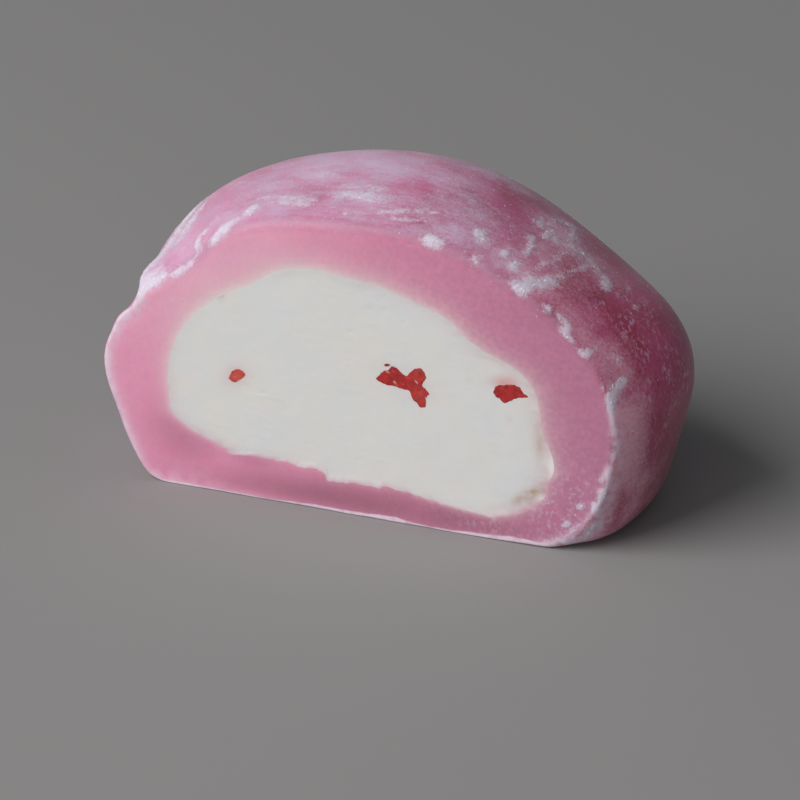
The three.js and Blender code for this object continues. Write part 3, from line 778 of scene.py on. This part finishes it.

# the outside: moist dough under a veil of starch, patchy and wiped in streaks. It turns darker and
# redder towards the right, most low on the right and behind: partly deeper red dough, partly painted
# shade
moist_and_shade = look.tint(rightward, MOIST_LEFT, MOIST_RIGHT_SHADED)
deeper = look.times(look.ramp(look.lumps(4.5, 1.0), 0.45, 0.75), look.ramp(rightward, 0, 1, 0.25, 0.7))
deeper = look.largest(deeper, look.times(look.stored("shaded_deep_red"), 0.9))
moist_and_shade = look.tint(deeper, moist_and_shade, MOIST_DEEP_SHADE)
crown = look.ramp(look.along(2), CROWN_FROM, CROWN_BY, 0.08, 0.14)
patchy = look.ramp(look.lumps(2.2, 3.0, 3.0, (1.4, 1.0, 1.0)), 0.25, 0.75, -0.16, 0.16)
streaky = look.times(look.ramp(wiped, 0.25, 0.75, -1.0, 1.0), crown)
powdery = look.ramp(powder, 0.25, 0.75, -0.18, 0.18)
clouded = look.sum(look.stored("veil"), patchy, streaky, powdery)
# the veil is painted warmer on the shaded right side
veil = look.tint(look.ramp(rightward, 0.75, 1.0), VEIL, VEIL_IN_SHADE)
veiled = look.tint(look.ramp(clouded, -0.1, 1.15, 0.0, 0.9), moist_and_shade, veil)
wrinkles = look.ramp(look.lumps(0.26, 6.0, 4.0, (1.0, 1.0, 1.9)), 0.47, 0.68)
gathered = look.ramp(look.lumps(1.6, 15.0, 2.0), 0.38, 0.62, 0.2, 1.0)
wrinkles = look.times(look.times(wrinkles, gathered), look.stored("wrinkled"))
veiled = look.tint(look.times(wrinkles, 0.6), veiled, VEIL)

# thick starch, the film at the rim and the line at the foot lie over both
colour = look.tint(look.stored("cut_face"), veiled, cut)
# painted shade darkens the rounded top edge of the cut
colour = look.tint(look.stored("bevel_painted_shade"), colour, BEVEL_SHADE, "MULTIPLY")
ragged = look.sum(powdery, look.ramp(caked, 0.25, 0.75, -0.2, 0.2))
starch = look.stored("thick_starch")
ragged = look.times(ragged, look.ramp(starch, 0.0, 0.3))
cover = look.ramp(look.sum(starch, ragged), 0.12, 1.05, 0.0, 0.93)
film = look.times(look.stored("rim_film"), look.ramp(caked, 0.38, 0.58, 0.2, 1.0))
above_foot = look.sum(look.along(2), (look.stored("foot_line"), -1.0), (powder, FOOT_RAGGED))
colour = look.tint(film, colour, FILM_STARCH)
colour = look.tint(cover, colour, STARCH)
cover = look.largest(cover, film)
foot = look.ramp(above_foot, FOOT_BY, FOOT_FULL)
foot = look.times(foot, look.ramp(caked, 0.3, 0.6, 0.6, 1.0))
colour = look.tint(foot, colour, FOOT_STARCH)

# no light wanders through where starch covers the dough, at the table or at the seam
bare = look.ramp(look.sum(cover, (foot, 1.0)), 0.0, 0.6, 1.0, 0.0)
off_table = look.ramp(look.along(2), 0.0, FIRM_BELOW)
glow = look.times(look.stored("clear_of_seam"), bare)
glow = look.times(glow, look.times(off_table, DOUGH_GLOW))
rough = look.largest(look.ramp(clouded, 0.0, 1.0, 0.34, 0.7), look.times(cover, 0.9))
height = look.sum((powder, 0.35), (cover, 0.6), (wiped, 0.4), (look.lumps(0.9, 7.0, 3.0), 0.6), crumbs)
look.put_on(
    dough, base_color=colour, roughness=rough, normal=look.relief(height, 0.5, DOUGH_RELIEF),
    subsurface_weight=glow, subsurface_scale=0.0004, subsurface_radius=GLOW_REACH,
    sheen_weight=0.12, sheen_roughness=0.5,
)
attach(dough, "root")
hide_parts("dough_shell")


# ---- Filling ----
# A dense off-white paste of sweetened white beans and cream, rolled into a ball before the dough
# went round it. The knife has smoothed its face, dragged dough into its edge and left a few pits.

FACE_ROWS, BACK_ROWS, UNDER_DOUGH, UNDER_SIDE = 96, 16, 0.16, 0.03
FACE_BEHIND, FACE_WAVES, FACE_BUNCHING = 0.035, ((4.2, 41, 0.02), (1.4, 42, 0.01)), 0.85
FACE_DRAG, FACE_DRAG_LIES = ((0.35, 43, 0.006),), (0.4, 1, 1)
PITS, PIT_WIDTHS, PIT_DEPTHS, PIT_SEED = 40, (0.06, 0.18), (0.008, 0.03), 7
STAINS = (  # spots where the paste is stained brown
    (15.25, 4.4, 1.1, 0.3, 33, 1.8),  # beside the lower right edge
    (16.0, 9.2, 0.35, 1.0, 0, 0.9),  # up the right edge
    (-11.04, 17.55, 0.28, 0.36, 0, 1.4),  # at the upper left
    (5.98, 19.24, 0.3, 0.2, 0, 0.35), (13.5, 10.6, 0.2, 0.25, 0, 0.3),
    (10.1, 13.4, 0.2, 0.12, 0, 0.25),
)
SMEARS = ((17.1, 7.2, 0.28, 1.1, 0, 1.1), (16.3, 4.3, 0.4, 0.2, 10, 0.9))
JUICE = (  # red from the strawberry bits
    (13.1, 13.65, 0.8, 0.38, 8, 0.8), (4.9, 12.2, 1.9, 0.9, -15, 0.16),
    (-9.8, 10.5, 0.8, 0.65, 25, 0.4),
)

random = np.random.default_rng(PIT_SEED)
pit_turns = random.uniform(0, 2 * np.pi, PITS)
pit_reach = np.sqrt(random.uniform(0.01, 0.95, PITS)) * filling_radius(pit_turns)
pit_places = HEART + pit_reach[:, None] * ray(pit_turns, 0 * pit_turns)
pit_sizes = np.stack([random.uniform(*PIT_WIDTHS, PITS), random.uniform(*PIT_DEPTHS, PITS)], -1)


def filling_face(points):
    """Depth of the filling's face behind the cut: gentle waves, fine drag and small pits."""
    depth = FACE_BEHIND + layers_of_noise(points, FACE_WAVES)
    depth = depth + layers_of_noise(points * FACE_DRAG_LIES, FACE_DRAG)
    for place, (wide, deep) in zip(pit_places, pit_sizes):
        squared = (points[..., 0] - place[0]) ** 2 + (points[..., 2] - place[2]) ** 2
        depth = depth + deep * np.exp(-squared / (2 * wide**2))
    return depth


share = (np.arange(FACE_ROWS, 0, -1) / FACE_ROWS)[:, None] ** FACE_BUNCHING
face_rows = HEART + (share * inner)[..., None] * ray(turn, 0 * turn)
inside_edge = (1 - share) * inner
flush = smooth_step(inside_edge, 0, 0.8)
face_rows[..., 1] = seam_y + flush * (filling_face(face_rows) - seam_y)
under = HEART + (inner + UNDER_SIDE)[:, None] * ray(turn, 0 * turn)
under[:, 1] = seam_y + UNDER_DOUGH
share = (np.arange(BACK_ROWS, 0, -1) / (BACK_ROWS + 1))[:, None]
back_rows = hollow(turn, first_dip + share * (np.pi / 2 - first_dip), 0)
face_centre = HEART.copy()
face_centre[1] = filling_face(face_centre)
filling_rings = np.concatenate([back_rows, under[None], face_rows])
filling_pole = HEART + (0, FILLING_DEPTH, 0)
filling = closed_rings("white_filling", filling_pole, filling_rings, face_centre)

filling_points = filling_rings.reshape(-1, 3)
filling_points = np.concatenate([filling_pole[None], filling_points, face_centre[None]])
blush = blush * np.exp(-inside_edge / blush_reach)
hidden = np.zeros((BACK_ROWS + 1) * TURNS + 1)
paint(filling, "dough_blush", np.concatenate([hidden, blush.ravel(), [0]]))
for name, rows in (("stain", STAINS), ("smear", SMEARS), ("juice", JUICE)):
    paint(filling, name, spots(filling_points, rows))
body = smooth_step(inside_edge + 0 * blush, 0.05, 0.5)
paint(filling, "clear_of_seam", np.concatenate([hidden, body.ravel(), [1]]))

PASTE, PASTE_WARM, PASTE_COOL = (0.765, 0.77, 0.76), (0.77, 0.76, 0.735), (0.735, 0.75, 0.755)
SMEARED_DOUGH, JUICE_RED = (0.61, 0.33, 0.42), (0.70, 0.36, 0.36)
STAIN, SMEAR = (0.48, 0.33, 0.24), (0.86, 0.85, 0.85)
FILLING_RELIEF = 0.05

look = Finish("filling")
mottle, crumb = look.lumps(3.2, 11.0, 3.0), look.lumps(0.7, 13.0, 4.0)
colour = look.tint(look.ramp(mottle, 0.3, 0.7), PASTE_WARM, PASTE_COOL)
colour = look.tint(look.ramp(crumb, 0.45, 0.75, 0.0, 0.6), colour, PASTE)
dragged = look.ramp(look.lumps(0.6, 16.0, 4.0, (2.0, 1.0, 1.0)), 0.25, 0.75, -0.15, 0.15)
edging = look.stored("dough_blush")
dragged = look.sum(edging, look.times(dragged, look.ramp(edging, 0.02, 0.3)))
colour = look.tint(dragged, colour, SMEARED_DOUGH)
patchy = look.times(look.stored("stain"), look.ramp(crumb, 0.3, 0.6, 0.3, 0.8))
colour = look.tint(look.times(patchy, 0.75), colour, STAIN)
colour = look.tint(look.times(look.stored("smear"), 0.8), colour, SMEAR)
colour = look.tint(look.stored("juice"), colour, JUICE_RED)
height = look.sum((look.lumps(0.2, 12.0, 3.0), 0.5), (crumb, 0.8))
look.put_on(
    filling, base_color=colour, roughness=look.ramp(mottle, 0.3, 0.7, 0.6, 0.75),
    normal=look.relief(height, 0.3, FILLING_RELIEF),
    subsurface_weight=look.times(look.stored("clear_of_seam"), 0.5), subsurface_scale=0.0003,
    subsurface_radius=(1.0, 0.8, 0.6),
)
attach(filling, "root")
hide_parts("filling")


# ---- Bits of strawberry ----
# Dried strawberry, stirred into the paste before it was rolled. The knife has cut through three
# bits and a scrap, flush with the paste: wet red flesh with pale threads and a few dark seeds.

BITS = (  # middle, then corners of each bit on the cut face, x and z, clockwise
    ((-9.75, 10.45), (
        (-10.53, 10.12), (-10.38, 10.45), (-10.17, 10.81), (-9.86, 11.03), (-9.48, 11.12),
        (-9.16, 10.99), (-8.96, 10.78), (-9.02, 10.57), (-9.25, 10.33), (-9.5, 10.09),
        (-9.89, 9.83), (-10.09, 9.84), (-10.33, 10.0),
    )),
    ((5.1, 12.22), (
        (1.93, 12.2), (2.42, 12.68), (2.86, 13.0), (3.18, 13.3), (3.65, 13.6), (3.98, 13.46),
        (4.56, 12.92), (4.88, 12.86), (5.1, 13.2), (5.47, 13.58), (5.98, 13.9), (6.38, 13.64),
        (6.56, 13.05), (6.44, 12.62), (6.12, 12.28), (6.28, 12.12), (6.64, 12.0), (6.87, 11.5),
        (6.74, 11.2), (6.6, 10.9), (6.58, 10.4), (6.25, 10.17), (5.96, 10.26), (5.78, 10.62),
        (5.5, 10.66), (5.3, 11.06), (5.16, 11.5), (5.03, 11.72), (4.78, 11.57), (4.4, 11.66),
        (3.86, 11.8), (3.2, 11.78), (2.5, 11.86),
    )),
    ((13.3, 12.75), (
        (11.92, 12.59), (12.13, 13.09), (12.55, 13.39), (13.23, 13.53), (13.96, 13.63),
        (14.23, 13.51), (14.65, 13.1), (15.08, 12.68), (14.4, 12.54), (13.77, 12.3),
        (13.3, 11.95), (12.99, 11.76), (12.51, 12.14),
    )),
    ((3.2, 13.52), (
        (2.92, 13.42), (3.03, 13.6), (3.3, 13.66), (3.5, 13.58), (3.34, 13.42), (3.1, 13.36),
    )),
)
PITH = (  # pale threads, as spots
    (3.25, 12.95, 0.2, 0.045, -20, 1.0), (3.9, 12.1, 0.2, 0.05, -55, 1.0),
    (4.25, 11.9, 0.2, 0.05, -10, 0.4), (5.69, 12.48, 0.16, 0.05, -50, 1.0),
    (6.5, 11.15, 0.17, 0.05, -70, 1.0), (5.75, 11.35, 0.14, 0.04, 60, 0.6),
    (3.75, 13.1, 0.25, 0.06, -40, 0.5), (-9.95, 10.35, 0.2, 0.12, 20, 0.4),
    (-9.5, 10.1, 0.25, 0.1, 25, 0.8),
)
SEEDS = (
    (5.96, 13.3, 0.14, 0.1, 60, 1.0), (3.1, 13.5, 0.3, 0.16, 20, 0.6), (5.64, 10.84, 0.1, 0.14, 0, 0.9),
    (3.2, 12.4, 0.2, 0.13, 20, 0.5), (4.9, 12.5, 0.16, 0.12, 0, 0.4),
    (-10.1, 10.75, 0.2, 0.12, 30, 0.6),
)
PALER = ((5.95, 13.1, 0.6, 0.5, 0, 0.35), (6.1, 11.2, 0.6, 0.8, 0, 0.4), (-9.7, 10.5, 0.9, 0.7, 0, 1.0))
BIT_TURNS, BIT_ROWS, ROUNDINGS = 120, 14, 3
BIT_RISE, BIT_DEPTH, BIT_SIDE, BIT_DOMING = 0.03, 0.7, 0.04, 6
BIT_RAGGED, BIT_LUMPS = ((0.22, 51, 0.06),), ((0.3, 52, 0.02),)  # its outline's and its face's noise


def bit_outline(middle, corners):
    """Closed outline of a bit, as steps away from its middle: straight between its corners, then
    rounded by averaging along the outline and roughened by small noise."""
    closed = np.array(corners + corners[:1])
    way = np.concatenate([[0], np.cumsum(np.linalg.norm(np.diff(closed, axis=0), axis=-1))])
    steps = np.linspace(0, way[-1], BIT_TURNS, endpoint=False)
    line = np.stack([np.interp(steps, way, closed[:, k]) for k in (0, 1)], -1)
    for _ in range(ROUNDINGS):
        line = (np.roll(line, 1, 0) + 2 * line + np.roll(line, -1, 0)) / 4
    rough = 1 + layers_of_noise(np.insert(line, 1, 0, axis=1), BIT_RAGGED)[:, None]
    return ((line - middle) * rough)[::-1]


def bit_surface(middle, corners):
    """Closed bit: a sunken back, straight sides and a face that follows the filling's."""
    share = np.concatenate([[1, 1, 1.0], np.linspace(1, 0, BIT_ROWS + 1)[1:-1]])
    back = np.concatenate([[BIT_DEPTH, BIT_DEPTH / 2, BIT_SIDE], np.zeros(BIT_ROWS - 1)])
    flat = middle + share[:, None, None] * bit_outline(middle, corners)
    rings = np.insert(flat, 1, 0, axis=-1)
    rise = BIT_RISE * (1 - share**BIT_DOMING)[:, None] + layers_of_noise(rings, BIT_LUMPS)
    rings[..., 1] = filling_face(rings) - rise + back[:, None]
    poles = np.array([[middle[0], 0, middle[1]]] * 2)
    poles[:, 1] = filling_face(poles) + (BIT_DEPTH, -BIT_RISE)
    return poles[0], rings, poles[1]


bits = [closed_rings(f"bit_{index}", *bit_surface(*bit)) for index, bit in enumerate(BITS)]
with bpy.context.temp_override(active_object=bits[0], selected_editable_objects=bits):
    bpy.ops.object.join()
berries = bits[0]
berries.name = berries.data.name = "strawberry_bits"
berry_points = np.empty(len(berries.data.vertices) * 3)
berries.data.vertices.foreach_get("co", berry_points)
berry_points = berry_points.reshape(-1, 3) * 1000 - to_frame
for name, rows in (("pith", PITH), ("seed", SEEDS), ("paler", PALER)):
    paint(berries, name, spots(berry_points, rows))

FLESH, FLESH_DARK, FLESH_PALE = (0.50, 0.024, 0.024), (0.31, 0.014, 0.018), (0.64, 0.09, 0.07)
THREAD, SEED_BROWN, FLESH_RELIEF = (0.78, 0.50, 0.42), (0.16, 0.045, 0.025), 0.05

look = Finish("strawberry")
soft = look.lumps(0.5, 21.0, 3.0)
colour = look.tint(look.ramp(soft, 0.35, 0.7), FLESH, FLESH_DARK)
colour = look.tint(look.stored("paler"), colour, FLESH_PALE)
colour = look.tint(look.ramp(look.lumps(0.25, 22.0, 3.0), 0.58, 0.75, 0.0, 0.6), colour, FLESH_PALE)
colour = look.tint(look.ramp(look.stored("pith"), 0.25, 0.7, 0.0, 0.8), colour, THREAD)
colour = look.tint(look.ramp(look.stored("seed"), 0.3, 0.7, 0.0, 0.85), colour, SEED_BROWN)
height = look.sum(look.lumps(0.18, 23.0, 3.0), (look.stored("pith"), -0.6), (look.stored("seed"), 0.6))
look.put_on(
    berries, base_color=colour, roughness=look.ramp(soft, 0.3, 0.7, 0.35, 0.55),
    normal=look.relief(height, 0.6, FLESH_RELIEF),
    subsurface_weight=0.25, subsurface_scale=0.0003, subsurface_radius=(1.0, 0.3, 0.2),
)
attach(berries, "root")


# ---- Loose starch ----
# The starch that the table and the hands were dusted with. It lies on the dough as fine grains,
# and has caked into small clots where the moist dough has taken it up.

# How many, least and most half size, how much commoner small ones are, flatness, rings of corners.
GRAINS, GRAIN_SIZES, GRAIN_SMALLNESS, GRAIN_FLATNESS, GRAIN_RINGS = 5200, (0.02, 0.05), 2.5, 0.8, 2
CLOTS, CLOT_SIZES, CLOT_SMALLNESS, CLOT_FLATNESS, CLOT_RINGS = 420, (0.05, 0.12), 2, 0.35, 5
PEBBLE_CORNERS, PEBBLE_SQUEEZE, PEBBLE_LUMPS, SCATTER_SEED = 5, (0.7, 1.3), 0.25, 23
OFF_TABLE, GRAINS_ON_VEIL, GRAINS_ANYWHERE = 0.3, 0.10, 0.02  # lowest grain, and share of grains
CUT_CLOTS = (  # x, z and half size of clots that the knife left on the cut face
    (-15.18, 16.19, 0.06), (-14.39, 16.39, 0.05), (-13.76, 16.92, 0.05), (19.49, 4.23, 0.08),
    (18.29, 2.54, 0.09), (18.54, 2.33, 0.06), (20.06, 4.85, 0.05), (19.02, 3.37, 0.05),
    (16.2, 4.2, 0.06),
)


def pebble(rings):
    """Unit ball with few faces, as points and faces: rings of corners between two poles."""
    points, faces, corners = [(0, 0, 1.0)], [], PEBBLE_CORNERS
    for ring in range(1, rings + 1):
        tilt = math.pi * ring / (rings + 1)
        for turned in 2 * np.pi * (np.arange(corners) + ring / 2) / corners:
            flat = math.sin(tilt) * math.cos(turned), math.sin(tilt) * math.sin(turned)
            points.append((*flat, math.cos(tilt)))
    points.append((0, 0, -1.0))
    for k in range(corners):
        after, low = (k + 1) % corners, 1 + corners * (rings - 1)
        faces += [(0, 1 + k, 1 + after), (low + k, len(points) - 1, low + after)]
        for ring in range(rings - 1):
            top = 1 + corners * ring
            below = top + corners
            faces += [(top + k, below + k, top + after), (top + after, below + k, below + after)]
    return np.array(points), np.array(faces)


def scatter(count, share, random):
    """Places on the outside of the dough and the directions away from it. They are drawn among the
    faces of the shell, each with a chance of its area times its share of starch."""
    skin_rows = shell[:OUTSIDE_ROWS + EDGE_ROWS]
    onward = np.roll(skin_rows, -1, 1)[:-1] - skin_rows[:-1]
    forward = skin_rows[1:] - skin_rows[:-1]
    outward = np.cross(onward, forward)
    area = np.linalg.norm(outward, axis=-1)
    chance = area * share[:OUTSIDE_ROWS + EDGE_ROWS - 1] * (skin_rows[:-1, :, 2] > OFF_TABLE)
    drawn = random.choice(area.size, count, p=(chance / chance.sum()).ravel())
    row, column = np.divmod(drawn, TURNS)
    along, across = random.uniform(0, 1, (2, count, 1))
    places = skin_rows[row, column] + along * onward[row, column] + across * forward[row, column]
    return places, outward[row, column] / area[row, column][:, None]


def mostly_small(sizes, count, smallness, random):
    """Sizes between the least and the most, drawn evenly and raised to a power."""
    return sizes[0] + (sizes[1] - sizes[0]) * random.uniform(0, 1, count) ** smallness


def strewn(name, places, outward, sizes, flatness, rings, random):
    """One mesh of many pebbles, each turned and squeezed at random and lying on the skin."""
    shape, faces = pebble(rings)
    count = len(places)
    around = np.cross(outward, random.normal(size=(count, 3)))
    around /= np.linalg.norm(around, axis=-1, keepdims=True)
    axes = np.stack([around, np.cross(outward, around), outward], 1)
    squeeze = random.uniform(*PEBBLE_SQUEEZE, (count, 2))
    squeeze = np.append(squeeze, np.full((count, 1), flatness), axis=1)
    lumpy = shape * (1 + random.uniform(-PEBBLE_LUMPS, PEBBLE_LUMPS, (count, len(shape), 1)))
    points = (lumpy * squeeze[:, None] * sizes[:, None, None]) @ axes + places[:, None]
    points[..., 2] = np.clip(points[..., 2], 0, None)
    numbers = faces + (len(shape) * np.arange(count))[:, None, None]
    return mesh_piece(name, points.reshape(-1, 3), numbers.reshape(-1, 3).tolist())


random = np.random.default_rng(SCATTER_SEED)
veil = veil_cover(shell.reshape(-1, 3)).reshape(thick.shape)
share = smooth_step(thick, 0.15, 0.9) + GRAINS_ON_VEIL * np.clip(veil, 0, 1) + GRAINS_ANYWHERE
places, outward = scatter(GRAINS, share, random)
sizes = mostly_small(GRAIN_SIZES, GRAINS, GRAIN_SMALLNESS, random)
grains = strewn("starch_grains", places, outward, sizes, GRAIN_FLATNESS, GRAIN_RINGS, random)

places, outward = scatter(CLOTS, smooth_step(thick, 0.5, THICKEST), random)
sizes = mostly_small(CLOT_SIZES, CLOTS, CLOT_SMALLNESS, random)
cut_clots = np.array(CUT_CLOTS)
places = np.concatenate([places, np.insert(cut_clots[:, :2], 1, 0, axis=1)])
outward = np.concatenate([outward, np.tile((0, -1.0, 0), (len(cut_clots), 1))])
sizes = np.concatenate([sizes, cut_clots[:, 2]])
clots = strewn("starch_clots", places, outward, sizes, CLOT_FLATNESS, CLOT_RINGS, random)

GRAIN_SHADE, GRAIN_LIGHT, GRAIN_RELIEF = (0.74, 0.68, 0.78), (0.84, 0.80, 0.87), 0.02
look = Finish("starch")
colour = look.tint(look.ramp(look.lumps(0.3, 31.0, 3.0), 0.3, 0.7), GRAIN_SHADE, GRAIN_LIGHT)
normal = look.relief(look.lumps(0.08, 32.0, 3.0), 0.5, GRAIN_RELIEF)
for piece in (grains, clots):
    piece.data.materials.clear()
    look.put_on(piece, base_color=colour, roughness=0.9, normal=normal)
    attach(piece, "root")


# ---- Camera, table and light ----
# The camera stands to the right of the cut and looks down on it a little, through a long lens.

TOWARDS_RIGHT, RAISED = math.radians(22), math.radians(24)
DISTANCE, AIM_RIGHT, AIM_UP, LENS, SENSOR = 300, 4.0, 9.136, 168.75, 36
level_out = Vector((math.sin(TOWARDS_RIGHT), -math.cos(TOWARDS_RIGHT), 0))
back_out = math.cos(RAISED) * level_out + Vector((0, 0, math.sin(RAISED)))
rightwards = Vector((math.cos(TOWARDS_RIGHT), math.sin(TOWARDS_RIGHT), 0))
upwards = back_out.cross(rightwards)
aim = Vector(to_frame) + AIM_RIGHT * rightwards + AIM_UP * upwards
lens = bpy.data.cameras.new("camera")
lens.lens, lens.sensor_width = LENS, SENSOR
camera = bpy.data.objects.new("camera", lens)
turned = Matrix((rightwards, upwards, back_out)).transposed().to_4x4()
camera.matrix_world = Matrix.Translation((aim + DISTANCE * back_out) / 1000) @ turned
scene.collection.objects.link(camera)
scene.camera = camera

FLOOR_HALF, FLOOR_DROP, FLOOR_GREY = 0.75, 0.00003, (0.316, 0.311, 0.311, 1)
corners = [
    (x * FLOOR_HALF, y * FLOOR_HALF, -FLOOR_DROP) for x, y in ((-1, -1), (1, -1), (1, 1), (-1, 1))
]
floor_mesh = bpy.data.meshes.new("table_top")
floor_mesh.from_pydata(corners, [], [(0, 1, 2, 3)])
floor = bpy.data.objects.new("table_top", floor_mesh)
scene.collection.objects.link(floor)
Finish("table").put_on(floor, base_color=FLOOR_GREY, roughness=0.9)


CAKE_MIDDLE = Vector((0, 0, 0.01))
ROOM_COLOUR, ROOM_STRENGTH = (0.92, 0.95, 1.0, 1), 0.11


def soft_light(name, place, size, power, colour):
    """Square soft light at a place in metres, turned to the middle of the cake."""
    lamp = bpy.data.lights.new(name, "AREA")
    lamp.size, lamp.energy, lamp.color = size, power, colour
    light = bpy.data.objects.new(name, lamp)
    light.location = place
    light.rotation_euler = (Vector(place) - CAKE_MIDDLE).to_track_quat("Z", "Y").to_euler()
    scene.collection.objects.link(light)


soft_light("window", (-0.50, -0.56, 0.60), 0.80, 9.2, (1.0, 0.985, 0.97))
soft_light("white_card", (0.15, -0.80, 0.25), 0.60, 1.2, (1.0, 0.99, 0.98))
world = bpy.data.worlds.new("room")
world.use_nodes = True
background = world.node_tree.nodes["Background"]
background.inputs["Color"].default_value = ROOM_COLOUR
background.inputs["Strength"].default_value = ROOM_STRENGTH
scene.world = world
scene.view_settings.view_transform = "Standard"
